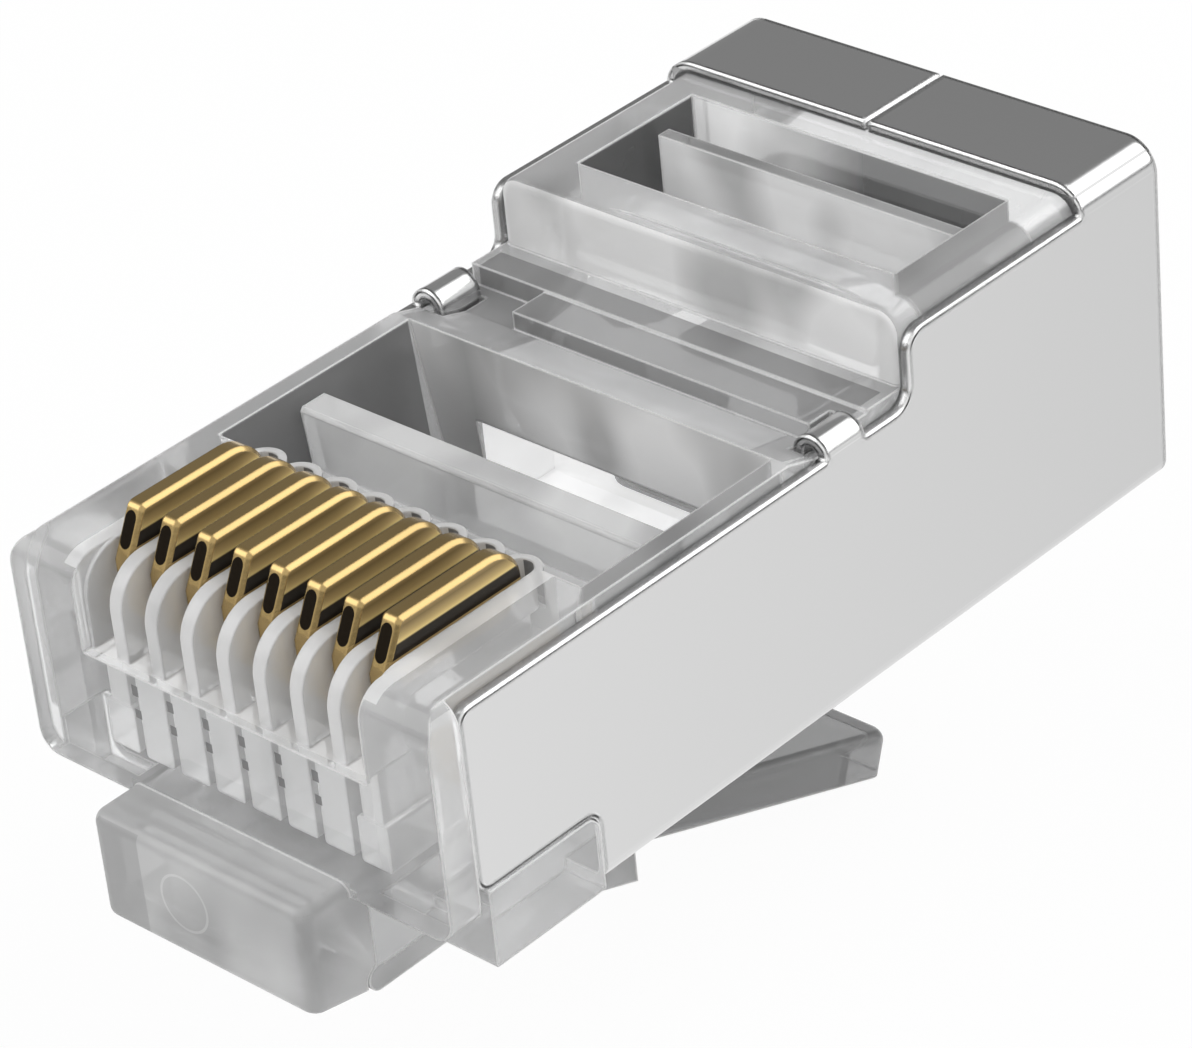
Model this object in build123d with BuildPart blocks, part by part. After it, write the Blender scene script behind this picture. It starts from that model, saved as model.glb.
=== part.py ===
from build123d import *
import os

# Shielded eight-way modular plug, uncrimped and without cable. Millimetres.
# X is the width, Y = 0 is the front face of the nose and +Y runs to the cable end,
# Z = 0 is the underside of the shield and +Z is the contact side.

# Nose and moulded body
nose_width = 11.68
nose_depth = 0.85
nose_bottom = 1.15
nose_corner = 0.5
nose_top_round = 0.7
front_top = 6.3
rail_front = 1.1
block_front = 14.35
block_edge = 0.2
rear_inset = 0.12

# Folded shield
shield_width = 11.6
shield_top = 8.32
shield_rear = 22.73
sheet = 0.25
shield_fit = 0.03
top_bend = 0.75
bottom_bend = 0.5
panel_top = 6.05
panel_high = 7.69
panel_low_edge = 1.82
panel_low_front = 4.27
panel_corner = 0.35
step_round = 0.5
wrap_front = 20.14
seam = 0.1
tab_front = 11.69
tab_length = 1.18
tab_radius = 0.45
tab_tail = 0.45

# Contacts and the comb that guides them
contact_count = 8
pitch = 1.016
contact_thickness = 0.5
contact_front = 1.05
contact_rear = 4.9
contact_top = 7.08
contact_nose_slope = 0.5
contact_nose_drop = 0.96
contact_back_round = 0.85
contact_brow = 0.2
contact_crown = 0.09
contact_shoulder = 4.75
tine_tip = 4.15
tine_count = 3
tine_inset = 0.5
outer_tine_drop = 1.05
blade_fit = 0.03
slot_width = 0.66
slot_floor = 4.2
slot_end = 5.0
comb_inset = 0.25
comb_arch = 1.0
comb_side_gap = 0.1
scallop_wall = 0.17

# Conductor channels, six high and two low
channel_front = 0.9
channel_width = 0.82
channel_floor = 1.85
channel_top = 4.0
outer_channel_top = 2.95
channel_round = 0.08

# Front window, passage, cable cavity and rear window
window_width = 10.1
window_front = 5.2
window_rear = 10.85
window_side_draft = 0.33
window_rear_lean = 0.3
gallery_width = 8.12
passage_width = 7.1
passage_top = 4.2
passage_rear = 13.2
cavity_front = 15.0
cavity_width = 8.6
cavity_floor = 0.65
cavity_top = 6.0
cavity_corner = 1.6
mouth_chamfer = 0.3
rear_window_width = 8.8
rear_window_front = 15.7
rear_window_rear = 19.45
rear_window_depth = 3.6

# Stepped deck between the two windows
deck_slope_rear = 12.3
deck_slope_drop = 0.43
deck_rib_rear = 13.3
deck_ledge_rise = 0.06
deck_rib_left_end = 3.4
tab_pocket_fit = 0.08
tab_pocket_depth = 0.85
tab_lip_drop = 0.3

# Conductor strain relief, in the front window
front_bar_side_fit = 0.2
front_bar_side_draft = 0.2
front_bar_hinge = 5.62
front_bar_front = 7.3
front_bar_thickness = 0.8
front_bar_top = 5.95
front_bar_bottom = 4.3
front_web = 0.25
bar_edge = 0.08

# Jacket strain relief, in the rear window
rear_bar_side_fit = 0.25
rear_bar_hinge_gap = 0.15
rear_bar_front = 18.0
rear_bar_crest = 0.35
rear_bar_foot = 0.95
rear_bar_top = 7.75
rear_bar_scoop = 0.65
rear_web = 0.25

# Latch, with its root block on the nose
latch_axis_y = 0.5
latch_axis_z = -1.1
latch_knuckle = 0.3
latch_seat_fit = 0.05
latch_key_width = 6.1
latch_handle_width = 3.25
latch_arm = 0.55
latch_bend_y = 2.8
latch_shoulder = 7.9
latch_end = 17.5
latch_end_z = -6.67
latch_thickness = 1.0
latch_round = 0.25
handle_corner = 0.5
latch_bay_width = 6.9
latch_bay_rear = 9.2
root_front = -1.3
root_front_low = -1.07
root_rear = 0.45
root_rise = 0.3
root_slope_drop = 0.35
root_round = 0.25
root_corner = 0.35

# Levels and widths that follow from the sizes above
nose_half = nose_width / 2
body_half = shield_width / 2 - sheet - shield_fit
body_bottom = sheet + shield_fit
body_rear = shield_rear - rear_inset
block_top = shield_top - sheet - shield_fit
block_round = top_bend - sheet
shield_front = nose_depth + shield_fit
rail_rear = panel_low_front - shield_fit
rail_top = panel_low_edge - shield_fit
blade_slot_width = contact_thickness + 2 * blade_fit
comb_half = (contact_count - 1) * pitch / 2 + slot_width / 2 + comb_side_gap
deck_low = front_top - deck_slope_drop
front_bar_width = window_width - 2 * front_bar_side_fit
rear_bar_width = rear_window_width - 2 * rear_bar_side_fit
contact_x = [(i - (contact_count - 1) / 2) * pitch for i in range(contact_count)]
past = 1.0


def side_slab(points, half_width, rounds=()):
    """A slab across the plug from a side outline of (y, z) points; rounds lists (y, z, radius)."""
    with BuildPart() as slab:
        with BuildSketch(Plane.YZ) as outline:
            with BuildLine():
                Polyline(*points, close=True)
            make_face()
            for y, z, radius in rounds:
                corner = outline.vertices().sort_by_distance((y, z))[0]
                fillet(corner, radius=radius)
        extrude(amount=half_width, both=True)
    return slab.part


def is_outer(index):
    """The first and last ways have their channel low and their tines long."""
    return index in (0, contact_count - 1)


# Solids shared by the pieces, made outside their own blocks
body_slab = side_slab(
    [
        (nose_depth / 2, nose_bottom),
        (rail_front, nose_bottom),
        (rail_front, body_bottom),
        (body_rear, body_bottom),
        (body_rear, block_top),
        (block_front, block_top),
        (block_front, front_top + deck_ledge_rise),
        (deck_rib_rear, front_top + deck_ledge_rise),
        (deck_rib_rear, front_top),
        (deck_slope_rear, front_top),
        (deck_slope_rear, deck_low),
        (window_rear, front_top),
        (nose_depth / 2, front_top),
    ],
    body_half,
)
rail_slab = side_slab(
    [(rail_front, 0), (rail_rear, 0), (rail_rear, rail_top), (rail_front, rail_top)],
    nose_half,
    rounds=[(rail_rear, rail_top, panel_corner)],
)

# Housing: one clear moulding with the contact comb, two windows and the cable cavity
with BuildPart() as housing:
    # Nose flange with rounded corners
    with BuildSketch(Plane.XZ):
        with Locations((0, (nose_bottom + front_top) / 2)):
            RectangleRounded(nose_width, front_top - nose_bottom, nose_corner)
    extrude(amount=-nose_depth)
    add(body_slab)
    # Rounded shoulders of the raised block under the wrap of the shield
    block_sides = housing.edges().filter_by(Axis.Y).group_by(Axis.Z)[-1]
    fillet(block_sides, radius=block_round)
    block_brow = housing.faces().filter_by(Axis.Z).sort_by(Axis.Z)[-1].edges().sort_by(Axis.Y)[0]
    fillet(block_brow, radius=block_edge)
    # Lower edges clear the bottom bends of the sheet
    fillet(housing.edges().filter_by(Axis.Y).group_by(Axis.Z)[0], radius=bottom_bend - sheet)
    # Lower side rails, flush with the nose where the shield is cut away
    add(rail_slab)
    # Bay under the nose for the latch
    with BuildSketch(Plane.XY.offset(nose_bottom)):
        with Locations((0, latch_bay_rear / 2)):
            Rectangle(latch_bay_width, latch_bay_rear)
    extrude(amount=-nose_bottom - past, mode=Mode.SUBTRACT)
    # Root block of the latch, with a seat for the latch knuckle at its foot
    with BuildSketch(Plane.YZ):
        with BuildLine():
            Polyline(
                (root_front, nose_bottom + root_rise),
                (root_rear, nose_bottom + root_rise),
                (root_rear, root_front_low - root_slope_drop),
                (root_front, root_front_low),
                close=True,
            )
        make_face()
        with Locations((latch_axis_y, latch_axis_z)):
            Circle(latch_knuckle + latch_seat_fit, mode=Mode.SUBTRACT)
    extrude(amount=latch_key_width / 2, both=True)
    root_sides = housing.faces().sort_by(Axis.Y)[0].edges().filter_by(Axis.Z)
    fillet(root_sides, radius=root_corner)
    root_ends = housing.faces().sort_by(Axis.Y)[0].edges().filter_by(Axis.X)
    fillet(root_ends, radius=root_round)
    # Rounded top edge of the nose
    with BuildSketch(Plane.YZ):
        with BuildLine():
            arc = CenterArc((nose_top_round, front_top - nose_top_round), nose_top_round, 90, 90)
            Polyline(arc @ 0, (-past, front_top), arc @ 1)
        make_face()
    extrude(amount=nose_width, both=True, mode=Mode.SUBTRACT)
    # Front window with drawn-in walls, over a gallery level with the conductor channels
    window_foot_rear = window_rear + window_rear_lean
    with BuildSketch(Plane.XY.offset(front_top)):
        with Locations((0, (window_front + window_rear) / 2)):
            Rectangle(window_width, window_rear - window_front)
    with BuildSketch(Plane.XY.offset(outer_channel_top)):
        with Locations((0, (window_front + window_foot_rear) / 2)):
            Rectangle(window_width - 2 * window_side_draft, window_foot_rear - window_front)
    loft(mode=Mode.SUBTRACT)
    with BuildSketch(Plane.XY.offset(channel_floor)):
        with Locations((0, (window_front + window_foot_rear) / 2)):
            Rectangle(gallery_width, window_foot_rear - window_front)
    extrude(amount=outer_channel_top - channel_floor, mode=Mode.SUBTRACT)
    # Scalloped ends of the contact slots, standing into the window
    with BuildSketch(Plane.XY.offset(slot_floor)):
        with Locations(*[(x, slot_end) for x in contact_x]):
            Circle(slot_width / 2 + scallop_wall)
    extrude(amount=front_top - slot_floor)
    # Ribs of the comb, set back from the nose and arched at the top
    with BuildSketch(Plane.YZ):
        with BuildLine():
            arch = CenterArc((comb_inset + comb_arch, front_top - comb_arch), comb_arch, 90, 90)
            Polyline(
                arch @ 1,
                (comb_inset, slot_floor),
                (-past, slot_floor),
                (-past, front_top + past),
                (comb_inset + comb_arch, front_top + past),
                arch @ 0,
            )
        make_face()
    extrude(amount=comb_half, both=True, mode=Mode.SUBTRACT)
    # Open slots that receive the springs of the jack
    with BuildSketch(Plane.XY.offset(slot_floor)):
        with Locations(*[(x, slot_end) for x in contact_x]):
            Circle(slot_width / 2)
        with Locations(*[(x, (slot_end - past) / 2) for x in contact_x]):
            Rectangle(slot_width, slot_end + past)
    extrude(amount=front_top, mode=Mode.SUBTRACT)
    # Narrow slots that grip the blades, and the conductor channels below them
    for index, x in enumerate(contact_x):
        top = outer_channel_top if is_outer(index) else channel_top
        with BuildSketch(Plane.XY.offset(slot_floor)):
            with Locations((x, (contact_front + contact_rear) / 2)):
                Rectangle(blade_slot_width, contact_rear - contact_front + 2 * blade_fit)
        extrude(amount=top - channel_width / 2 - slot_floor, mode=Mode.SUBTRACT)
        with BuildSketch(Plane.XZ.offset(-channel_front)):
            with Locations((x, (channel_floor + top) / 2)):
                RectangleRounded(channel_width, top - channel_floor, channel_round)
        extrude(amount=channel_front - window_front - past / 2, mode=Mode.SUBTRACT)
    # Passage from the window to the funnel of the cable cavity
    with BuildSketch(Plane.XZ.offset(past - window_rear)):
        with Locations((0, (channel_floor + passage_top) / 2)):
            RectangleRounded(passage_width, passage_top - channel_floor, channel_round)
    extrude(amount=window_rear - passage_rear - past, mode=Mode.SUBTRACT)
    with BuildSketch(Plane.XZ.offset(-passage_rear)):
        with Locations((0, (channel_floor + passage_top) / 2)):
            RectangleRounded(passage_width, passage_top - channel_floor, channel_round)
    with BuildSketch(Plane.XZ.offset(-cavity_front)):
        with Locations((0, (cavity_floor + cavity_top) / 2)):
            RectangleRounded(cavity_width, cavity_top - cavity_floor, cavity_corner)
    loft(mode=Mode.SUBTRACT)
    # Cable cavity with an eased mouth
    with BuildSketch(Plane.XZ.offset(-cavity_front)):
        with Locations((0, (cavity_floor + cavity_top) / 2)):
            RectangleRounded(cavity_width, cavity_top - cavity_floor, cavity_corner)
    extrude(amount=cavity_front - body_rear, mode=Mode.SUBTRACT)
    mouth = housing.faces().sort_by(Axis.Y)[-1].inner_wires()[0].edges()
    chamfer(mouth, length=mouth_chamfer)
    # Rear window, open down into the cable cavity
    with BuildSketch(Plane.XY.offset(block_top)):
        with Locations((0, (rear_window_front + rear_window_rear) / 2)):
            Rectangle(rear_window_width, rear_window_rear - rear_window_front)
    extrude(amount=-rear_window_depth, mode=Mode.SUBTRACT)
    # Pockets for the shield tabs, with a lip that each tab hooks over
    tab_inner = shield_width / 2 - 2 * tab_radius
    lip_outer = shield_width / 2 - sheet - shield_fit
    lip_inner = tab_inner + sheet + shield_fit
    pocket_inner = tab_inner - tab_pocket_fit
    with BuildSketch(Plane.XZ.offset(tab_pocket_fit - tab_front)):
        with Locations(((pocket_inner + lip_inner) / 2, front_top)):
            Rectangle(lip_inner - pocket_inner, 2 * tab_pocket_depth)
        with Locations(((lip_inner + lip_outer) / 2, front_top)):
            Rectangle(lip_outer - lip_inner + shield_fit, 2 * tab_lip_drop)
        mirror(about=Plane.YZ)
    extrude(amount=-tab_length - 2 * tab_pocket_fit, mode=Mode.SUBTRACT)
    # The rib of the deck stops short on the left
    with BuildSketch(Plane.XY.offset(deck_low)):
        with Locations((-(body_half + deck_rib_left_end) / 2, (deck_slope_rear + deck_rib_rear) / 2)):
            Rectangle(body_half - deck_rib_left_end, deck_rib_rear - deck_slope_rear)
    extrude(amount=front_top, mode=Mode.SUBTRACT)
housing.part.label = "housing"

# Shield: one folded sheet, cut to its side outline, with a seam and two hooked tabs
shield_outline = side_slab(
    [
        (shield_front, panel_low_edge),
        (shield_front, panel_top),
        (block_front, panel_top),
        (block_front, panel_high),
        (wrap_front, panel_high),
        (wrap_front, shield_top + past),
        (shield_rear, shield_top + past),
        (shield_rear, -past),
        (panel_low_front, -past),
        (panel_low_front, panel_low_edge),
    ],
    shield_width,
    rounds=[
        (shield_front, panel_low_edge, panel_corner),
        (shield_front, panel_top, panel_corner),
        (block_front, panel_top, step_round),
        (block_front, panel_high, step_round),
        (panel_low_front, panel_low_edge, panel_corner),
    ],
)
with BuildPart() as shield:
    with BuildSketch(Plane.XZ.offset(-shield_front)) as section:
        with Locations((0, shield_top / 2)):
            Rectangle(shield_width, shield_top)
        fillet(section.vertices().group_by(Axis.Y)[-1], radius=top_bend)
        fillet(section.vertices().group_by(Axis.Y)[0], radius=bottom_bend)
        offset(amount=-sheet, mode=Mode.SUBTRACT)
    extrude(amount=shield_front - shield_rear)
    add(shield_outline, mode=Mode.INTERSECT)
    # Opening for the latch in the bottom sheet
    with BuildSketch(Plane.XY.offset(-past)):
        with Locations((0, latch_bay_rear / 2)):
            Rectangle(latch_bay_width, latch_bay_rear)
    extrude(amount=2 * past, mode=Mode.SUBTRACT)
    # Seam where the two top flaps meet
    with BuildSketch(Plane.XZ.offset(-wrap_front)):
        with Locations((0, shield_top)):
            Rectangle(seam, 4 * sheet)
    extrude(amount=wrap_front - shield_rear, mode=Mode.SUBTRACT)
    # Tabs that curl over the housing
    with BuildSketch(Plane.XZ.offset(-tab_front)):
        with BuildLine():
            centre = (shield_width / 2 - tab_radius, panel_top)
            outside = CenterArc(centre, tab_radius, 0, 180)
            inside = CenterArc(centre, tab_radius - sheet, 0, 180)
            Polyline(outside @ 1, outside @ 1 - (0, tab_tail), inside @ 1 - (0, tab_tail), inside @ 1)
            Polyline(
                outside @ 0,
                outside @ 0 - (0, panel_corner),
                inside @ 0 - (0, panel_corner),
                inside @ 0,
            )
        make_face()
        mirror(about=Plane.YZ)
    extrude(amount=-tab_length)
shield.part.label = "shield"

# Conductor strain relief: an upright bar on a thin web from the front wall of its window
with BuildPart() as conductor_strain_relief:
    with BuildSketch(Plane.YZ):
        with BuildLine():
            bar_rear = front_bar_front + front_bar_thickness
            Polyline(
                (front_bar_hinge, front_bar_bottom),
                (bar_rear, front_bar_bottom),
                (bar_rear, front_bar_top),
                (front_bar_front, front_bar_top),
                (front_bar_front, front_bar_bottom + front_web),
                (front_bar_hinge, front_bar_bottom + front_web),
                close=True,
            )
        make_face()
    extrude(amount=front_bar_width / 2, both=True)
    # Drawn-in ends, as the window walls are
    with BuildSketch(Plane.XZ.offset(-front_bar_hinge)):
        with BuildLine():
            half = front_bar_width / 2
            Polyline(
                (-half, front_bar_top),
                (half, front_bar_top),
                (half - front_bar_side_draft, front_bar_bottom),
                (front_bar_side_draft - half, front_bar_bottom),
                close=True,
            )
        make_face()
    extrude(amount=front_bar_hinge - bar_rear, mode=Mode.INTERSECT)
    crest_edges = conductor_strain_relief.faces().sort_by(Axis.Z)[-1].edges().filter_by(Axis.X)
    chamfer(crest_edges, length=bar_edge)
conductor_strain_relief.part.label = "conductor_strain_relief"

# Jacket strain relief: a scooped bar on a thin web from the front wall of the rear window
with BuildPart() as jacket_strain_relief:
    with BuildSketch(Plane.YZ):
        with BuildLine():
            hinge_y = rear_window_front + rear_bar_hinge_gap
            crest_y = rear_bar_front + rear_bar_crest
            foot_y = rear_bar_front + rear_bar_foot
            scoop_z = rear_bar_top - rear_bar_scoop
            scoop = RadiusArc((foot_y, scoop_z), (crest_y, rear_bar_top), rear_bar_foot)
            Polyline(
                scoop @ 1,
                (rear_bar_front, rear_bar_top),
                (rear_bar_front, cavity_top + rear_web),
                (hinge_y, cavity_top + rear_web),
                (hinge_y, cavity_top),
                (foot_y, cavity_top),
                scoop @ 0,
            )
        make_face()
    extrude(amount=rear_bar_width / 2, both=True)
jacket_strain_relief.part.label = "jacket_strain_relief"

# Latch: thin sprung arm from the root block, wide key with its shoulders, narrow handle
latch_bend_z = latch_axis_z - latch_knuckle
slope = (latch_end_z - latch_bend_z) / (latch_end - latch_bend_y)
shoulder_z = latch_bend_z + slope * (latch_shoulder - latch_bend_y)
with BuildPart() as latch:
    with BuildSketch(Plane.YZ) as key_outline:
        with BuildLine():
            Polyline(
                (latch_axis_y, latch_bend_z),
                (latch_bend_y, latch_bend_z),
                (latch_shoulder, shoulder_z),
                (latch_shoulder, shoulder_z + latch_thickness),
                (latch_bend_y, latch_bend_z + latch_arm),
                (latch_axis_y, latch_bend_z + latch_arm),
                close=True,
            )
        make_face()
        for y, z in ((latch_bend_y, latch_bend_z), (latch_bend_y, latch_bend_z + latch_arm)):
            fillet(key_outline.vertices().sort_by_distance((y, z))[0], radius=latch_thickness)
        with Locations((latch_axis_y, latch_axis_z)):
            Circle(latch_knuckle)
    extrude(amount=latch_key_width / 2, both=True)
    with BuildSketch(Plane.YZ):
        with BuildLine():
            Polyline(
                (latch_shoulder - past, shoulder_z - past * slope),
                (latch_end, latch_end_z),
                (latch_end - slope * latch_thickness, latch_end_z + latch_thickness),
                (latch_shoulder - past, shoulder_z - past * slope + latch_thickness),
                close=True,
            )
        make_face()
    extrude(amount=latch_handle_width / 2, both=True)
    handle_corners = latch.faces().sort_by(Axis.Y)[-1].edges().filter_by(Axis.X, reverse=True)
    fillet(handle_corners, radius=handle_corner)
    # Rounded rim on the upper side of the handle
    handle_rim = latch.faces().sort_by(Axis.Y)[-1].edges().filter_by(Axis.X).sort_by(Axis.Z)[-1]
    fillet(handle_rim, radius=latch_round)
latch.part.label = "latch"


def contact_solid(name, x, drop):
    """One stamped contact: bevelled head, sloped front, rounded back and pointed tines."""
    tine_pitch = (contact_rear - contact_front - 2 * tine_inset) / tine_count
    tines = []
    for tine in range(tine_count):
        start = contact_rear - tine_inset - tine * tine_pitch
        tines.append((start - tine_pitch / 2, tine_tip - drop))
        if tine < tine_count - 1:
            tines.append((start - tine_pitch, contact_shoulder - drop))
    with BuildPart() as contact:
        with BuildSketch(Plane.YZ.offset(x)) as outline:
            with BuildLine():
                Polyline(
                    (contact_front, contact_shoulder),
                    (contact_front, contact_top - contact_nose_drop),
                    (contact_front + contact_nose_slope, contact_top),
                    (contact_rear, contact_top),
                    (contact_rear, contact_shoulder),
                    (contact_rear - tine_inset, contact_shoulder),
                    *([(contact_rear - tine_inset, contact_shoulder - drop)] if drop else []),
                    *tines,
                    *([(contact_front + tine_inset, contact_shoulder - drop)] if drop else []),
                    (contact_front + tine_inset, contact_shoulder),
                    close=True,
                )
            make_face()
            back = outline.vertices().sort_by_distance((contact_rear, contact_top))[0]
            fillet(back, radius=contact_back_round)
            brow_y = contact_front + contact_nose_slope
            brow = outline.vertices().sort_by_distance((brow_y, contact_top))[0]
            fillet(brow, radius=contact_brow)
        extrude(amount=contact_thickness / 2, both=True)
        # Bevelled edges of the head
        head = contact.edges().filter_by(Axis.X, reverse=True)
        shoulder_level = contact_top - contact_nose_drop
        chamfer(head.filter_by_position(Axis.Z, shoulder_level, contact_top), length=contact_crown)
    contact.part.label = name
    return contact.part


contacts = [
    contact_solid(f"contact_{index + 1}", x, outer_tine_drop if is_outer(index) else 0)
    for index, x in enumerate(contact_x)
]

os.makedirs("parts", exist_ok=True)
export_step(housing.part, "parts/housing.step")
export_step(shield.part, "parts/shield.step")
export_step(conductor_strain_relief.part, "parts/conductor_strain_relief.step")
export_step(jacket_strain_relief.part, "parts/jacket_strain_relief.step")
export_step(latch.part, "parts/latch.step")
for piece in contacts:
    export_step(piece, f"parts/{piece.label}.step")
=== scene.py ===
from functools import cached_property
from typing import NamedTuple

import bpy
from bpy.props import FloatProperty, FloatVectorProperty, PointerProperty
from mathutils import Matrix, Vector


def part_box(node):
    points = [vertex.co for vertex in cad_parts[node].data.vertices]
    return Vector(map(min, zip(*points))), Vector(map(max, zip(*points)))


bl_info = {
    "name": "Shielded modular plug",
    "version": (1, 0, 0),
    "blender": (4, 5, 0),
    "location": "View3D > Sidebar > Plug",
    "description": "Dresses a shielded modular plug in clear plastic, nickel sheet and gold plate",
    "category": "Object",
}

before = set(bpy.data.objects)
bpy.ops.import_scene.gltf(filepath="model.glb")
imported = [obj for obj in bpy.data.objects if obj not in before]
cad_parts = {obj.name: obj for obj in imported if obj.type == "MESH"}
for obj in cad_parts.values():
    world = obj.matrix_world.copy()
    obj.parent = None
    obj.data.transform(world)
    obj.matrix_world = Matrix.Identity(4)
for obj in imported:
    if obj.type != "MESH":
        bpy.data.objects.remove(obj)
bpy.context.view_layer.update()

MM = 0.001


class Patch(NamedTuple):
    """A place in a moulding with painted light and shade in its haze: its box, how bright the haze is there
    and its share, the one axis that its faces look along, if any, and how softly it starts along X."""

    box: tuple
    brightness: float
    share: float
    axis: str = ""
    blur: float = 0.0


class Pattern(NamedTuple):
    """A soft noise: its cycles per metre along X, Y and Z, and its levels of detail."""

    scale: tuple
    detail: float


def grey(brightness):
    return (brightness, brightness, brightness)


def box(*ranges):
    """A box in metres from its ranges of X, Y and Z in millimetres."""
    return tuple((low * MM, high * MM) for low, high in ranges)


THIN_NODES = ("latch", "conductor_strain_relief", "jacket_strain_relief")
CONTACT_NODES = tuple(f"contact_{way}" for way in range(1, 9))

# The camera, fitted to the photograph: its place, and its right, up and backward axes
CAMERA_PLACE = Vector((62.24, -50.77, 57.66)) * MM
CAMERA_AXES = (
    (0.738325, 0.668697, -0.087869),
    (-0.301822, 0.444102, 0.843609),
    (0.603142, -0.596337, 0.529719),
)
SENSOR_WIDTH = 36.0
CAMERA_NEAR = 0.005
CAMERA_FAR = 10.0

# The lamps: what they aim at, their places and sizes in metres
LIGHT_TARGET = Vector((0.0, 11.0, 2.0)) * MM
KEY_PLACE = (0.14, 0.16, 0.16)
KEY_SIZE = 0.3
FILL_PLACE = (-0.14, -0.18, 0.2)
FILL_SIZE = 0.26

# The studio: greys from straight below to straight above, with a dark line at the horizon
TENT_STOPS = ((0.0, 0.9), (0.5, 0.95), (0.515, 0.06), (0.545, 0.06), (0.57, 0.9), (1.0, 0.85))
# The dark panel behind the plug: the direction of its middle, its grey and how it fades in
PANEL_DIRECTION = (-0.606, 0.593, 0.53)
PANEL_COLOUR = grey(0.32)
PANEL_STOPS = ((0.0, 0.0), (0.6, 0.0), (0.88, 1.0))
WHITE = grey(1.0)
FLOOR_COLOUR = grey(0.8)
FLOOR_WHITENESS = 0.95

# How much a flat face looks along an axis to count as half turned, mostly turned or square to it
HALF_TURNED = 0.5
MOSTLY_TURNED = 0.7
SQUARE = 0.9

# Places in the moulded body where light and shade are painted into the haze
COMB = box((-4.35, 4.35), (0.2, 5.6), (1.8, 6.31))
NOSE_SIDES = box((-5.9, 5.9), (0.05, 0.9), (0.9, 6.3))
NOSE_FRONT = box((-4.1, 4.1), (-0.05, 0.05), (1.2, 4.2))
FRONT_WINDOW = box((-5.08, 5.08), (5.3, 10.8), (1.7, 6.28))
FRONT_WINDOW_REAR = box((-5.5, 5.08), (10.8, 11.2), (1.7, 6.28))
FRONT_WINDOW_REAR_LEFT = box((-6.5, -0.5), (10.8, 11.2), (1.7, 6.28))
PASSAGE = box((-4.0, 4.0), (11.2, 15.7), (0.9, 4.1))
DECK_SLOPE = box((-5.3, 5.3), (10.9, 12.25), (5.75, 6.4))
DECK = box((-5.3, 5.3), (12.25, 14.0), (5.6, 6.6))
BLOCK_FRONT = box((-5.6, 5.6), (13.3, 15.3), (6.4, 8.2))
REAR_WINDOW = box((-4.45, 4.45), (15.8, 19.4), (0.6, 7.98))
REAR_WINDOW_REAR = box((-4.45, 4.45), (19.4, 19.5), (0.6, 7.98))
REAR_WINDOW_REAR_RIGHT = box((-2.5, 8.0), (19.4, 19.5), (0.6, 7.98))
LATCH_ROOT = box((-3.1, 3.1), (-1.4, 0.46), (-1.6, 1.5))
LATCH_ROOT_LEFT = box((-3.1, -1.65), (-1.4, 0.46), (-1.6, 1.5))
# The same in the latch and the bars
LATCH = box((-3.1, 3.1), (-1.0, 8.0), (-8.0, -0.7))
HANDLE = box((-3.1, 3.1), (8.0, 18.0), (-8.0, -0.7))
FRONT_BAR = box((-5.1, 5.1), (5.3, 8.4), (3.0, 6.2))
REAR_BAR = box((-4.4, 4.4), (15.8, 19.4), (3.0, 8.3))

# Shares of scattered light that hold in one place only
NOSE_SIDE_SHARE = 0.38
WINDOW_REAR_SHARE = 0.9
PASSAGE_SHARE = 1.0
DECK_SHARE = 0.7
BLOCK_FRONT_SHARE = 0.65
LATCH_ROOT_SHARE = 0.6
# What is left of a setting in places that hold less of it: the haze share on the clearer nose front, and
# the brightness under deeper painted shade
CLEARER = 0.5
DIMMER = 0.65
DEEPER = 0.4
# Over what length two of the places fade in
LEFT_FADE = 4.0 * MM
RIGHT_FADE = 3.0 * MM

# Painted shade: dark dashes on the front of the nose where the webs show through it: half their width, how
# far they reach to each side and in from the front, then the middle height and half height of each row
WEB_SHADE_HALF = 0.09 * MM
WEB_SHADE_REACH = 3.3 * MM
WEB_SHADE_DEPTH = 0.1 * MM
WEB_SHADE_ROWS = ((3.83 * MM, 0.13 * MM), (3.27 * MM, 0.11 * MM))
WEB_SHADE_STRENGTH = 0.85
# The faint round mark on the front of the latch's block: its middle, radius, half line and rear limit
MARK_X = -0.44 * MM
MARK_Z = 0.27 * MM
MARK_RADIUS = 0.65 * MM
MARK_HALF_LINE = 0.03 * MM
MARK_REAR = -1.2 * MM
MARK_STRENGTH = 0.2

# How soft edges are sampled, and where each painted dark line, painted highlight line and fold line along
# an edge starts and how sharply
PLASTIC_SAMPLES = 4
SHEET_SAMPLES = 8
PLATE_SAMPLES = 4
DARK_LINE = (0.02, 60.0)
WHITE_LINE = (0.1, 30.0)
FOLD = (0.004, 200.0)
# Brightness of the painted highlight lines on the edges
RIM_BRIGHTNESS = 0.97
COMB_CALM = 0.7
CLOUD_START = (0.5, 4.0)
HAZE_ROUGHNESS = 0.5
SHADOW_COLOUR = grey(0.96)

# Painted highlight and painted shade along each fold of the shell: a bright, a dark and a bright line
# across the turn of the sheet
BRIGHT = grey(0.95)
DARK = grey(0.02)
FOLD_LINES = ((0.0, BRIGHT), (0.015, BRIGHT), (0.025, DARK), (0.13, DARK), (0.18, BRIGHT))
# The ranges of Y and the lowest level that count as inside the shell, where the sheet gets its painted
# shade
INNER_LENGTH = (-1.0 * MM, 30.0 * MM)
INNER_FOOT = 0.2 * MM
# Where each colour of a contact's painted side holds, from foot to top: painted dark, a painted highlight,
# gold, painted shade and worn gold; and how far the shaded one is dimmed
SIDE_PLACES = (0.0, 0.4, 0.45, 0.6, 0.85, 1.0)
SIDE_SHADE = 0.6

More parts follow.
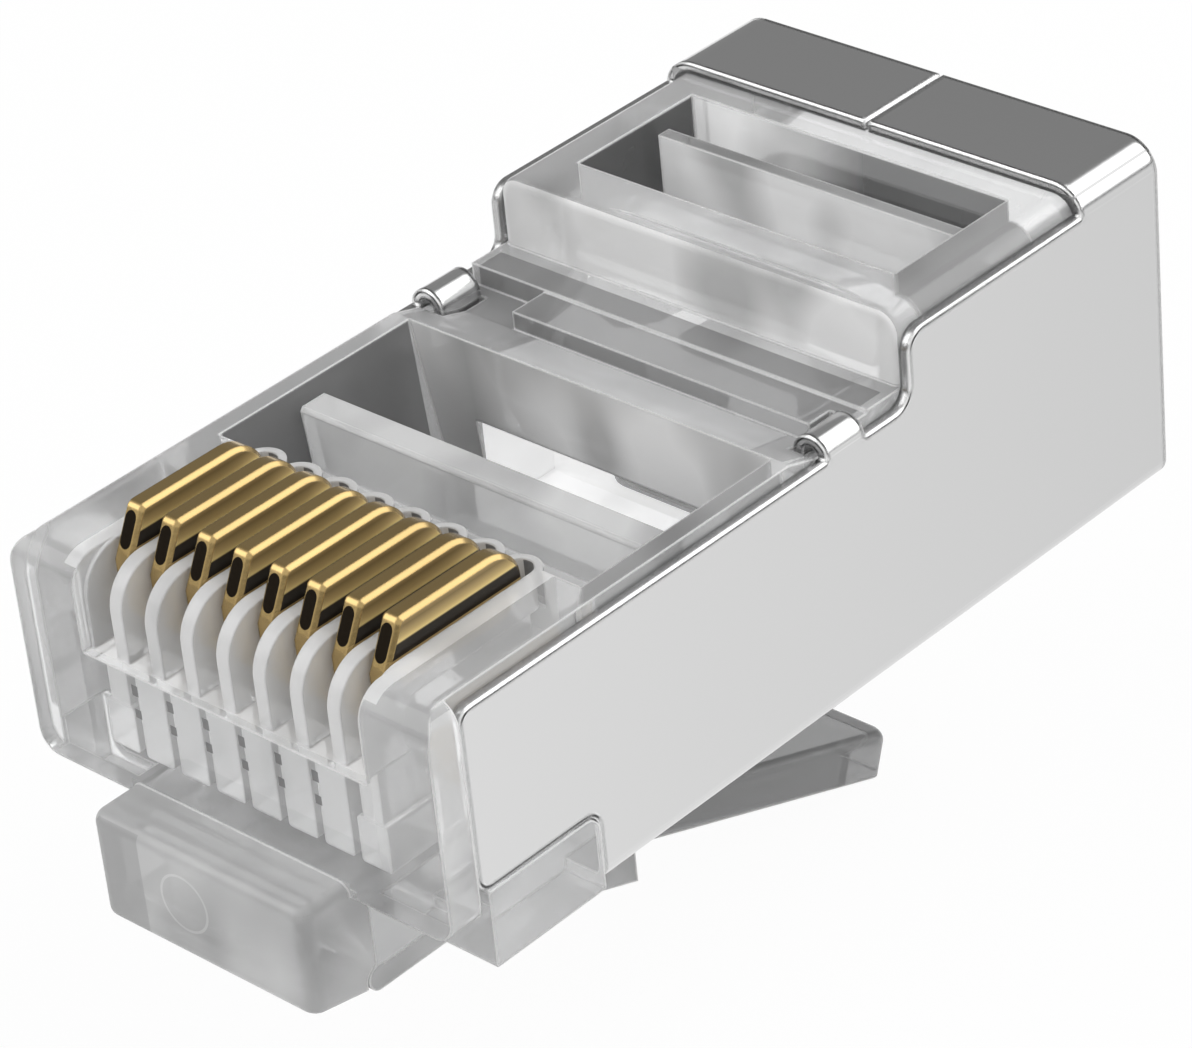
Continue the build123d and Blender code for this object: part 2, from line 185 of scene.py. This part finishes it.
FLOW_MARKS = Pattern((240.0, 90.0, 240.0), 2.0)
CLOUDS = Pattern((420.0, 300.0, 300.0), 1.0)
BRUSHING = Pattern((1500.0, 60.0, 1500.0), 3.0)
STAINS = Pattern((220.0, 220.0, 220.0), 2.0)
GRAIN = Pattern((9000.0, 1500.0, 9000.0), 3.0)
WEAR = Pattern((900.0, 400.0, 900.0), 2.0)
# The strength and height of each fine relief
FLOW_RELIEF = (0.1, 0.02 * MM)
BRUSHED_RELIEF = (0.03, 0.01 * MM)
GRAIN_RELIEF = (0.12, 0.01 * MM)
# What is added to a metal's roughness
STAIN_ROUGHNESS = 0.05
INNER_ROUGHNESS = 0.15
WEAR_ROUGHNESS = 0.1
SIDE_ROUGHNESS = 0.2


class Value:
    """A shader socket that is used in Python expressions, each of which adds its Math nodes."""

    def __init__(self, make, socket):
        self.make = make
        self.socket = socket

    def _math(self, operation, *terms, clamp=False):
        settings = {"operation": operation, "use_clamp": clamp}
        return self.make.node("ShaderNodeMath", settings, dict(enumerate(terms)))[0]

    def __add__(self, other):
        return self._math("ADD", self, other)

    def __radd__(self, other):
        return self._math("ADD", other, self)

    def __sub__(self, other):
        return self._math("SUBTRACT", self, other)

    def __rsub__(self, other):
        return self._math("SUBTRACT", other, self)

    def __mul__(self, other):
        return self._math("MULTIPLY", self, other)

    def __rmul__(self, other):
        return self._math("MULTIPLY", other, self)

    def __truediv__(self, other):
        return self._math("DIVIDE", self, other)

    def __rtruediv__(self, other):
        return self._math("DIVIDE", other, self)

    def __pow__(self, other):
        return self._math("POWER", self, other)

    def __rpow__(self, other):
        return self._math("POWER", other, self)

    def __gt__(self, other):
        return self._math("GREATER_THAN", self, other)

    def __lt__(self, other):
        return self._math("LESS_THAN", self, other)

    def __abs__(self):
        return self._math("ABSOLUTE", self)

    def larger(self, other):
        return self._math("MAXIMUM", self, other)

    def fraction(self):
        return self._math("FRACT", self)

    def clamped(self):
        """The value, kept between 0 and 1."""
        return self._math("ADD", self, 0.0, clamp=True)

    def rise(self, start, slope):
        """0 up to a start, then up to 1 at a slope."""
        return ((self - start) * slope).clamped()


class Outputs:
    """A node's outputs by name or number, each as a Value."""

    def __init__(self, make, node):
        self.make = make
        self.node = node

    def __getitem__(self, name):
        return Value(self.make, self.node.outputs[name])


class NodeMaker:
    """Makes the nodes of one material or world."""

    def __init__(self, tree):
        self.tree = tree
        tree.nodes.clear()

    def node(self, kind, settings=None, values=None):
        """Adds a node: its settings first, then the values or links of its sockets. Returns its outputs."""
        node = self.tree.nodes.new(kind)
        for name, setting in (settings or {}).items():
            if name == "stops":
                ramp = node.color_ramp
                while len(ramp.elements) > 1:
                    ramp.elements.remove(ramp.elements[-1])
                for count, (place, colour) in enumerate(setting):
                    stop = ramp.elements[0] if count == 0 else ramp.elements.new(place)
                    stop.position = place
                    stop.color = (*colour, 1.0)
            else:
                setattr(node, name, setting)
        for name, value in (values or {}).items():
            socket = node.inputs[name]
            if isinstance(value, Value):
                self.tree.links.new(value.socket, socket)
            elif socket.type == "RGBA":
                socket.default_value = (*value, 1.0)
            else:
                socket.default_value = value
        return Outputs(self, node)

    @cached_property
    def coordinates(self):
        """The Object coordinates, in metres."""
        return self.node("ShaderNodeTexCoord")["Object"]

    @cached_property
    def place(self):
        """The place on the piece along X, Y and Z, in metres."""
        return self.node("ShaderNodeSeparateXYZ", None, {"Vector": self.coordinates})

    @cached_property
    def true_normal(self):
        return self.node("ShaderNodeNewGeometry")["True Normal"]

    @cached_property
    def facing(self):
        """How much the flat face looks along X, Y and Z, from -1 to 1."""
        return self.node("ShaderNodeSeparateXYZ", None, {"Vector": self.true_normal})

    def pattern_place(self, scale, shift=(0.0, 0.0, 0.0)):
        """Object coordinates, scaled and then moved for one pattern."""
        values = {"Vector": self.coordinates, "Location": shift, "Scale": scale}
        return self.node("ShaderNodeMapping", {"vector_type": "POINT"}, values)["Vector"]

    def noise(self, pattern):
        """A soft noise from 0 to 1."""
        values = {"Vector": self.pattern_place(pattern.scale), "Scale": 1.0, "Detail": pattern.detail}
        return self.node("ShaderNodeTexNoise", None, values)["Fac"]

    def edge(self, radius, samples):
        """The softened normal, and how far the surface turns near an edge: 0 on flat faces."""
        soft = self.node("ShaderNodeBevel", {"samples": samples}, {"Radius": radius})["Normal"]
        normals = {0: soft, 1: self.true_normal}
        turn = self.node("ShaderNodeVectorMath", {"operation": "DOT_PRODUCT"}, normals)["Value"]
        return soft, 1.0 - turn

    def relief(self, height, normal, strength, distance):
        """A normal with a fine relief on it."""
        values = {"Strength": strength, "Distance": distance, "Height": height, "Normal": normal}
        return self.node("ShaderNodeBump", None, values)["Normal"]

    def within(self, ranges, blur=0.0):
        """1 inside a box, given as ranges of X, Y and Z, and 0 outside it. It may fade in along X."""
        half = tuple((high - low) / 2 for low, high in ranges)
        shift = tuple(-(low + high) / 2 / size for (low, high), size in zip(ranges, half))
        scaled = self.pattern_place(tuple(1.0 / size for size in half), shift)
        away = self.node("ShaderNodeVectorMath", {"operation": "ABSOLUTE"}, {0: scaled})["Vector"]
        away = self.node("ShaderNodeSeparateXYZ", None, {"Vector": away})
        if not blur:
            return away["X"].larger(away["Y"]).larger(away["Z"]) < 1.0
        fading = ((1.0 - away["X"]) * (half[0] / blur)).clamped()
        return fading * (away["Y"].larger(away["Z"]) < 1.0)

    def ramp(self, factor, stops):
        """A colour from stops of a place and a colour."""
        return self.node("ShaderNodeValToRGB", {"stops": stops}, {"Fac": factor})["Color"]

    def mix(self, factor, first, second):
        """A colour between two colours."""
        # A Mix node of colours has its factor and colours at these sockets, and its result at output 2
        return self.node("ShaderNodeMix", {"data_type": "RGBA"}, {0: factor, 6: first, 7: second})[2]

    def mix_shader(self, factor, first, second):
        return self.node("ShaderNodeMixShader", None, {0: factor, 1: first, 2: second})["Shader"]


def new_material(name):
    """An empty node material and its maker."""
    material = bpy.data.materials.new(name)
    material.use_nodes = True
    return material, NodeMaker(material.node_tree)


def show_surface(make, surface):
    make.node("ShaderNodeOutputMaterial", None, {"Surface": surface})


def dress(names, material):
    """Gives CAD nodes a finished material, and leaves their meshes alone."""
    for name in names:
        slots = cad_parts[name].data.materials
        slots.clear()
        slots.append(material)


def off_middle(make, pitch):
    """How far a point lies along X from the middle of the nearest contact's way."""
    return ((make.place["X"] / pitch).fraction() - 0.5) * pitch


def painted_web_shade(make, pitch):
    """1 on the painted shade of small dark dashes on the front of the nose, where the webs show through it.
    """
    rows = 0.0
    for middle, half in WEB_SHADE_ROWS:
        rows = (abs(make.place["Z"] - middle) < half) + rows
    columns = (abs(off_middle(make, pitch)) < WEB_SHADE_HALF) * (abs(make.place["X"]) < WEB_SHADE_REACH)
    front = (make.facing["Y"] < -SQUARE) * (make.place["Y"] < WEB_SHADE_DEPTH)
    return columns * rows * front


def round_mark(make):
    """1 on the thin ring that the mould left on the front of the latch's block."""
    across = make.place["X"] - MARK_X
    height = make.place["Z"] - MARK_Z
    distance = (across ** 2.0 + height ** 2.0) ** 0.5
    ring = abs(distance - MARK_RADIUS) < MARK_HALF_LINE
    return ring * (make.place["Y"] < MARK_REAR) * (make.facing["Y"] < -SQUARE)


def haze_with_painted_light_and_shade(make, brightness, share, patches):
    """The brightness of the haze and its share, with the painted light and shade of the patches, each laid
    over those before it.
    """
    look = (brightness, share, 0.0)
    for patch in patches:
        here = make.within(patch.box, patch.blur)
        if patch.axis:
            here = here * (abs(make.facing[patch.axis]) > MOSTLY_TURNED)
        look = make.mix(here, look, (patch.brightness, patch.share, 0.0))
    parts = make.node("ShaderNodeSeparateColor", None, {"Color": look})
    return parts["Red"], parts["Green"]


def clear_plastic_material(name, settings, haze, patches, pitch=None):
    """Clear polycarbonate: it refracts, under a cloudy haze with faint flow marks, painted light and shade
    by place and painted lines on its edges.
    A pitch adds what only the body has: a calm comb, painted web shade, the round mark and a painted glow
    in the passage."""
    material, make = new_material(name)
    material.cycles.emission_sampling = "NONE"
    soft, edge = make.edge(settings.edge_softness, PLASTIC_SAMPLES)
    normal = make.relief(make.noise(FLOW_MARKS), soft, *FLOW_RELIEF)
    clear = make.node(
        "ShaderNodeBsdfPrincipled",
        None,
        {
            "Base Color": tuple(settings.colour),
            "Roughness": settings.roughness,
            "IOR": settings.ior,
            "Transmission Weight": 1.0,
            "Normal": normal,
        },
    )["BSDF"]
    brightness, share = haze_with_painted_light_and_shade(make, settings.haze_brightness, haze, patches)
    brightness = brightness * (1.0 - make.noise(CLOUDS).rise(*CLOUD_START) * settings.cloudiness)
    # Painted shade and painted highlight: a dark line along the edges of upright faces, and a white line
    # along every edge
    shade = edge.rise(*DARK_LINE) * (abs(make.facing["Z"]) < HALF_TURNED) * settings.edge_shade
    rim = edge.rise(*WHITE_LINE) * settings.edge_highlight
    painted_glow = {}
    if pitch:
        # In the body the painted lines are calmer in the comb, the painted web shade joins the dark lines
        # and the mould's round mark joins the white ones
        calm = 1.0 - COMB_CALM * make.within(COMB)
        shade = (shade * calm + WEB_SHADE_STRENGTH * painted_web_shade(make, pitch)).clamped()
        rim = (rim * calm + MARK_STRENGTH * round_mark(make)).clamped()
        # Painted glow: the passage emits light though it is no lamp
        painted_glow = {"Emission Color": settings.painted_passage_glow * make.within(PASSAGE), "Emission Strength": 1.0}
    brightness = brightness * (1.0 - shade)
    brightness = brightness + (RIM_BRIGHTNESS - brightness) * rim
    share = share + (1.0 - share) * (shade + rim).clamped()
    values = {"Base Color": brightness, "Roughness": HAZE_ROUGHNESS, "Normal": normal, **painted_glow}
    scattered = make.node("ShaderNodeBsdfPrincipled", None, values)["BSDF"]
    hazy = make.mix_shader(share, clear, scattered)
    lit = make.node("ShaderNodeBsdfTransparent", None, {"Color": SHADOW_COLOUR})["BSDF"]
    shadow = make.node("ShaderNodeLightPath")["Is Shadow Ray"]
    show_surface(make, make.mix_shader(shadow, hazy, lit))
    return material


def nickel_material(settings):
    """Bright nickel-plated sheet, faintly brushed along the plug, with painted shade towards the cable end
    and inside, and painted lines on its folds.
    """
    material, make = new_material("bright_nickel_sheet")
    soft, edge = make.edge(settings.edge_softness, SHEET_SAMPLES)
    normal = make.relief(make.noise(BRUSHING), soft, *BRUSHED_RELIEF)
    # Painted shade: the plate darkens from the nose towards the cable end
    along = (make.place["Y"] / settings.shell_length).clamped()
    plate = make.mix(along, tuple(settings.colour), tuple(settings.rear_colour))
    # Painted highlight and painted shade: the bright and dark lines across each fold
    outside = make.mix(edge.rise(*FOLD), plate, make.ramp(edge, FOLD_LINES))
    # Painted shade: the sheet is darker inside the shell, away from the hooked tabs, and also rougher there
    inner_width = (-settings.inner_half, settings.inner_half)
    inner = make.within((inner_width, INNER_LENGTH, (INNER_FOOT, settings.inner_top)))
    tabs = (make.place["Z"] > settings.tab_foot) * (make.place["Y"] < settings.tab_rear)
    inside = inner * (1.0 - tabs)
    stained = STAIN_ROUGHNESS * (make.noise(STAINS) - 0.5)
    shader = make.node(
        "ShaderNodeBsdfPrincipled",
        None,
        {
            "Base Color": make.mix(inside, outside, tuple(settings.inner_shade_colour)),
            "Metallic": 1.0,
            "Roughness": settings.roughness + stained + INNER_ROUGHNESS * inside,
            "Normal": normal,
        },
    )["BSDF"]
    show_surface(make, shader)
    return material


def gold_material(settings):
    """Gold plate on stamped bronze: worn in places, with painted shade and a painted highlight on its sides
    and a painted dark reflection on its front end.
    """
    material, make = new_material("gold_plated_bronze")
    wear = make.noise(WEAR)
    soft, _ = make.edge(settings.edge_softness, PLATE_SAMPLES)
    normal = make.relief(make.noise(GRAIN), soft, *GRAIN_RELIEF)
    # Painted reflection: a dark pill on the front end of each contact
    across = off_middle(make, settings.pitch)
    reach = (abs(make.place["Z"] - settings.front_middle) - settings.front_reach).larger(0.0)
    distance = (across ** 2.0 + reach ** 2.0) ** 0.5
    painted_front_reflection = (distance < settings.front_width / 2) * (make.facing["Y"] < -HALF_TURNED)
    painted_dark = tuple(settings.painted_dark_colour)
    gold = tuple(settings.colour)
    worn = tuple(settings.worn_colour)
    shade = tuple(SIDE_SHADE * channel for channel in worn)
    # Painted shade and painted highlight on the sides: dark at the foot, bright low down, then gold,
    # painted shade and worn gold at the top
    side = abs(make.facing["X"]) > SQUARE
    height = (make.place["Z"] - settings.side_foot) / (settings.side_top - settings.side_foot)
    side_colours = (painted_dark, painted_dark, tuple(settings.painted_side_highlight), gold, shade, worn)
    shaded_side = make.ramp(height, tuple(zip(SIDE_PLACES, side_colours)))
    plate = make.mix(side * (height > 0.0), make.mix(wear, gold, worn), shaded_side)
    shader = make.node(
        "ShaderNodeBsdfPrincipled",
        None,
        {
            "Base Color": make.mix(painted_front_reflection, plate, painted_dark),
            "Metallic": 1.0 - settings.side_dullness * side,
            "Roughness": settings.roughness + WEAR_ROUGHNESS * (wear - 0.5) + SIDE_ROUGHNESS * side,
            "Normal": normal,
        },
    )["BSDF"]
    show_surface(make, shader)
    return material


def floor_material():
    """Pale floor that reads white to the camera, in reflections and through the plastic."""
    material, make = new_material("pale_floor")
    path = make.node("ShaderNodeLightPath")
    seen = (path["Is Camera Ray"] + path["Is Glossy Ray"] + path["Is Transmission Ray"]).clamped()
    matt = make.node("ShaderNodeBsdfDiffuse", None, {"Color": FLOOR_COLOUR})["BSDF"]
    white = make.node("ShaderNodeEmission", None, {"Color": WHITE, "Strength": 1.0})["Emission"]
    show_surface(make, make.mix_shader(seen * FLOOR_WHITENESS, matt, white))
    return material


def colour_setting(name, description, default):
    """A property that holds a colour."""
    return FloatVectorProperty(
        name=name, description=description, default=default, min=0.0, max=1.0, subtype="COLOR"
    )


def part_setting(name, description, default):
    """A property that runs from 0 to 1."""
    return FloatProperty(
        name=name, description=description, default=default, min=0.0, max=1.0, subtype="FACTOR"
    )


def length_setting(name, description, millimetres):
    """A property that holds a length."""
    return FloatProperty(
        name=name, description=description, default=millimetres * MM, precision=5, unit="LENGTH"
    )


def power_setting(name, description, default):
    """A property that holds a lamp's power."""
    return FloatProperty(name=name, description=description, default=default, min=0.0, unit="POWER")


class ClearPlasticSettings(bpy.types.PropertyGroup):
    colour: colour_setting("Colour", "Tint of the clear moulding", (0.92, 0.925, 0.93))
    roughness: part_setting("Roughness", "Blur of what shows through the faces", 0.04)
    ior: FloatProperty(
        name="Index of refraction", description="Bending of light in the plastic", default=1.52, min=1.0
    )
    haze: part_setting("Haze", "Share of the light that the body scatters", 0.27)
    thin_haze: part_setting("Thin haze", "The same share in the latch and the bars", 0.5)
    comb_haze: part_setting("Comb haze", "The same share in the comb and its channels", 0.5)
    wall_haze: part_setting("Wall haze", "The same share on the walls of both windows", 0.75)
    # Painted highlight: strength of the white lines on the edges
    edge_highlight: part_setting("Edge haze", "Strength of the white lines on the edges", 1.0)
    # Painted shade: strength of the dark lines beside them
    edge_shade: part_setting("Edge shade", "Strength of the dark lines beside them", 0.7)
    edge_softness: length_setting("Edge softness", "Radius of the softened edges", 0.1)
    cloudiness: part_setting("Cloudiness", "Darkness of the soft clouds in the haze", 0.45)
    haze_brightness: part_setting("Haze brightness", "Brightness of the scattered light", 0.85)
    # Painted light: the brightness painted into the haze where light fills the moulding
    light: part_setting("Light places", "Brightness where light fills the moulding, as in the comb", 0.95)
    # Painted shade: the sides of the ribs and the front bar are painted darker than the lit comb
    rib_side: part_setting("Rib sides", "Brightness of the sides of the ribs and of the front bar", 0.76)
    root: part_setting("Latch root", "Brightness of the latch and its block", 0.55)
    # Painted shade: the brightness painted into the haze of the deck, the handle and other shaded places
    shaded: part_setting("Shaded places", "Brightness of the deck, the handle and other shaded places", 0.2)
    # Painted shade: the windows' walls are painted dark, standing in for the shell seen through them
    painted_wall_shade: part_setting("Side walls", "Brightness of the windows' walls, where the shell shows", 0.13)
    # Painted glow: light that seems to reach the passage through the clear walls is emitted there
    painted_passage_glow: part_setting("Piped light", "Light that the clear walls carry into the passage", 0.3)


class NickelSettings(bpy.types.PropertyGroup):
    colour: colour_setting("Colour", "Colour of the sheet at the nose", (0.7, 0.7, 0.7))
    # Painted shade: the darker colour of the sheet at the cable end
    rear_colour: colour_setting("Rear colour", "Colour of the sheet at the cable end", (0.6, 0.6, 0.6))
    # Painted shade: the darker colour of the sheet inside the shell
    inner_shade_colour: colour_setting("Inner colour", "Colour of the sheet on the inside", (0.36, 0.36, 0.36))
    roughness: part_setting("Roughness", "Blur of the reflections", 0.12)
    edge_softness: length_setting("Edge softness", "Radius of the softened edges", 0.24)
    shell_length: length_setting("Shell length", "Length over which the colour changes", 22.7)
    inner_half: length_setting("Inner half width", "Half the width that counts as inside", 5.6)
    inner_top: length_setting("Inner top", "Height up to which the sheet counts as inside", 8.12)
    tab_foot: length_setting("Tab foot", "Lowest level of the hooked tabs", 5.5)
    tab_rear: length_setting("Tab rear", "Rear end of the hooked tabs", 13.2)


class GoldSettings(bpy.types.PropertyGroup):
    colour: colour_setting("Colour", "Colour of the gold plate", (0.56, 0.4, 0.17))
    worn_colour: colour_setting("Worn colour", "Colour where the plate is thin", (0.42, 0.3, 0.13))
    # Painted highlight: the bright band low on the sides
    painted_side_highlight: colour_setting("Bright colour", "Colour low on the sides", (0.85, 0.66, 0.27))
    # Painted reflection and painted shade: the dark colour of the front ends and of the foot of the sides
    painted_dark_colour: colour_setting("Front colour", "Colour of the bare front ends", (0.02, 0.015, 0.01))
    roughness: part_setting("Roughness", "Blur of the reflections", 0.17)
    side_dullness: part_setting("Side dullness", "How much less the sides mirror", 0.55)
    edge_softness: length_setting("Edge softness", "Radius of the softened edges", 0.06)
    pitch: length_setting("Pitch", "Distance between contacts", 1.016)
    side_foot: length_setting("Side foot", "Lower end of the shaded sides", 6.28)
    side_top: length_setting("Side top", "Upper end of the shaded sides", 7.0)
    front_middle: length_setting("Front middle", "Height of the middle of the dark front ends", 6.58)
    front_reach: length_setting("Front reach", "Half the straight length of the dark front ends", 0.21)
    front_width: length_setting("Front width", "Width of the dark front ends", 0.3)


class StageSettings(bpy.types.PropertyGroup):
    floor_gap: length_setting("Floor gap", "Height of the plug's lowest point above the floor", 0.1)
    floor_size: length_setting("Floor size", "Side of the square floor", 2000.0)
    lens: FloatProperty(
        name="Lens", description="Focal length of the camera", default=148.96, subtype="DISTANCE_CAMERA"
    )
    key_power: power_setting("Key power", "Power of the lamp behind the plug", 0.42)
    fill_power: power_setting("Fill power", "Power of the lamp before the plug", 0.34)


class PLUG_OT_clear_moulding(bpy.types.Operator):
    """Give the moulded body, its latch and both bars their clear plastic"""

    bl_idname = "plug.clear_moulding"
    bl_label = "Clear moulding"

    def execute(self, context):
        settings = context.scene.plug_plastic
        light = settings.light
        shaded = settings.shaded
        root = settings.root
        painted_wall_shade = settings.painted_wall_shade
        rib_side = settings.rib_side
        haze = settings.haze
        thin_haze = settings.thin_haze
        comb_haze = settings.comb_haze
        wall_haze = settings.wall_haze
        # The body's haze, with painted light on the nose, comb, channels, passage, rear walls and block
        # front, and painted shade on the rib sides, window walls, deck and left of the latch's block
        body = (
            Patch(NOSE_SIDES, light, NOSE_SIDE_SHARE, "X"),
            Patch(COMB, light, comb_haze),
            Patch(COMB, rib_side, comb_haze, "X"),
            Patch(NOSE_FRONT, light, CLEARER * haze, "Y"),
            Patch(FRONT_WINDOW, painted_wall_shade, wall_haze),
            Patch(FRONT_WINDOW_REAR, light, WINDOW_REAR_SHARE, "Y"),
            Patch(FRONT_WINDOW_REAR_LEFT, shaded, WINDOW_REAR_SHARE, "Y", LEFT_FADE),
            Patch(PASSAGE, light, PASSAGE_SHARE),
            Patch(DECK_SLOPE, DIMMER * root, comb_haze, "Z"),
            Patch(DECK, shaded, DECK_SHARE),
            Patch(REAR_WINDOW, DEEPER * painted_wall_shade, wall_haze),
            Patch(REAR_WINDOW_REAR, light, wall_haze, "Y"),
            Patch(REAR_WINDOW_REAR_RIGHT, DEEPER * painted_wall_shade, wall_haze, "Y", RIGHT_FADE),
            Patch(BLOCK_FRONT, light, BLOCK_FRONT_SHARE, "Y"),
            Patch(LATCH_ROOT, root, LATCH_ROOT_SHARE),
            Patch(LATCH_ROOT_LEFT, DIMMER * root, wall_haze, "Y"),
        )
        # The latch and the bars, with painted shade on the handle, the front bar and the top of the rear
        # bar, and painted light on the rear bar's front and back
        thin = (
            Patch(LATCH, root, thin_haze),
            Patch(HANDLE, shaded, thin_haze),
            Patch(FRONT_BAR, rib_side, thin_haze),
            Patch(REAR_BAR, light, wall_haze, "Y"),
            Patch(REAR_BAR, shaded, thin_haze, "Z"),
        )
        pitch = context.scene.plug_gold.pitch
        dress(("housing",), clear_plastic_material("clear_polycarbonate", settings, haze, body, pitch))
        dress(THIN_NODES, clear_plastic_material("clear_polycarbonate_thin", settings, thin_haze, thin))
        return {"FINISHED"}


class PLUG_OT_nickel_shell(bpy.types.Operator):
    """Give the folded shield its nickel plate"""

    bl_idname = "plug.nickel_shell"
    bl_label = "Nickel shell"

    def execute(self, context):
        dress(("shield",), nickel_material(context.scene.plug_nickel))
        return {"FINISHED"}


class PLUG_OT_gold_contacts(bpy.types.Operator):
    """Give the row of contacts its gold plate"""

    bl_idname = "plug.gold_contacts"
    bl_label = "Gold contacts"

    def execute(self, context):
        dress(CONTACT_NODES, gold_material(context.scene.plug_gold))
        return {"FINISHED"}


def add_floor(settings):
    """A square floor just below the plug."""
    low = min(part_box(name)[0][2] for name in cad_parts) - settings.floor_gap
    half = settings.floor_size / 2
    mesh = bpy.data.meshes.new("floor")
    corners = [(-half, -half, low), (half, -half, low), (half, half, low), (-half, half, low)]
    mesh.from_pydata(corners, [], [(0, 1, 2, 3)])
    mesh.materials.append(floor_material())
    floor = bpy.data.objects.new("floor", mesh)
    bpy.context.scene.collection.objects.link(floor)


def add_lamp(name, place, size, power):
    """A square area lamp that is aimed at the plug."""
    lamp = bpy.data.lights.new(name, "AREA")
    lamp.shape = "SQUARE"
    lamp.size = size
    lamp.energy = power
    light = bpy.data.objects.new(name, lamp)
    direction = LIGHT_TARGET - Vector(place)
    turn = direction.to_track_quat("-Z", "Y").to_matrix().to_4x4()
    light.matrix_world = Matrix.Translation(place) @ turn
    bpy.context.scene.collection.objects.link(light)


def add_world():
    """A soft pale studio with a dark horizon and panel for the metal, and plain white to the camera."""
    world = bpy.data.worlds.new("studio")
    world.use_nodes = True
    make = NodeMaker(world.node_tree)
    direction = make.node("ShaderNodeTexCoord")["Generated"]
    height = make.node("ShaderNodeSeparateXYZ", None, {"Vector": direction})["Z"]
    tent_stops = tuple((place, grey(brightness)) for place, brightness in TENT_STOPS)
    tent = make.ramp(height * 0.5 + 0.5, tent_stops)
    towards = {0: direction, 1: PANEL_DIRECTION}
    aligned = make.node("ShaderNodeVectorMath", {"operation": "DOT_PRODUCT"}, towards)["Value"]
    panel_stops = tuple((place, grey(strength)) for place, strength in PANEL_STOPS)
    sky = make.mix(make.ramp(aligned, panel_stops), tent, PANEL_COLOUR)
    studio = make.node("ShaderNodeBackground", None, {"Color": sky, "Strength": 1.0})["Background"]
    white = make.node("ShaderNodeBackground", None, {"Color": WHITE, "Strength": 1.0})["Background"]
    seen = make.node("ShaderNodeLightPath")["Is Camera Ray"]
    make.node("ShaderNodeOutputWorld", None, {"Surface": make.mix_shader(seen, studio, white)})
    bpy.context.scene.world = world


def add_camera(lens):
    """The camera at the photograph's viewing angle."""
    data = bpy.data.cameras.new("camera")
    data.lens = lens
    data.sensor_fit = "HORIZONTAL"
    data.sensor_width = SENSOR_WIDTH
    data.clip_start = CAMERA_NEAR
    data.clip_end = CAMERA_FAR
    camera = bpy.data.objects.new("camera", data)
    camera.matrix_world = Matrix.Translation(CAMERA_PLACE) @ Matrix(CAMERA_AXES).transposed().to_4x4()
    bpy.context.scene.collection.objects.link(camera)
    bpy.context.scene.camera = camera


class PLUG_OT_stage(bpy.types.Operator):
    """Set out the pale floor, the soft light and the camera at the photograph's angle"""

    bl_idname = "plug.stage"
    bl_label = "Stage"

    def execute(self, context):
        settings = context.scene.plug_stage
        add_floor(settings)
        add_lamp("key_light", KEY_PLACE, KEY_SIZE, settings.key_power)
        add_lamp("fill_light", FILL_PLACE, FILL_SIZE, settings.fill_power)
        add_world()
        add_camera(settings.lens)
        context.scene.view_settings.view_transform = "Standard"
        return {"FINISHED"}


GROUPS = {
    "plug_plastic": ClearPlasticSettings,
    "plug_nickel": NickelSettings,
    "plug_gold": GoldSettings,
    "plug_stage": StageSettings,
}
OPERATORS = (PLUG_OT_stage, PLUG_OT_clear_moulding, PLUG_OT_nickel_shell, PLUG_OT_gold_contacts)


class PLUG_PT_sidebar(bpy.types.Panel):
    """Sizes and finishes of the plug"""

    bl_idname = "PLUG_PT_sidebar"
    bl_label = "Shielded modular plug"
    bl_space_type = "VIEW_3D"
    bl_region_type = "UI"
    bl_category = "Plug"

    def draw(self, context):
        for group, settings in GROUPS.items():
            rows = self.layout.box()
            for name in settings.__annotations__:
                rows.prop(getattr(context.scene, group), name)
        for operator in OPERATORS:
            self.layout.operator(operator.bl_idname)


def register():
    for name, settings in GROUPS.items():
        bpy.utils.register_class(settings)
        setattr(bpy.types.Scene, name, PointerProperty(type=settings))
    for shown in (*OPERATORS, PLUG_PT_sidebar):
        bpy.utils.register_class(shown)


def unregister():
    for shown in (PLUG_PT_sidebar, *reversed(OPERATORS)):
        bpy.utils.unregister_class(shown)
    for name, settings in reversed(GROUPS.items()):
        delattr(bpy.types.Scene, name)
        bpy.utils.unregister_class(settings)


def main():
    register()
    bpy.ops.plug.stage()
    bpy.ops.plug.clear_moulding()
    bpy.ops.plug.nickel_shell()
    bpy.ops.plug.gold_contacts()


if __name__ == "__main__":
    main()
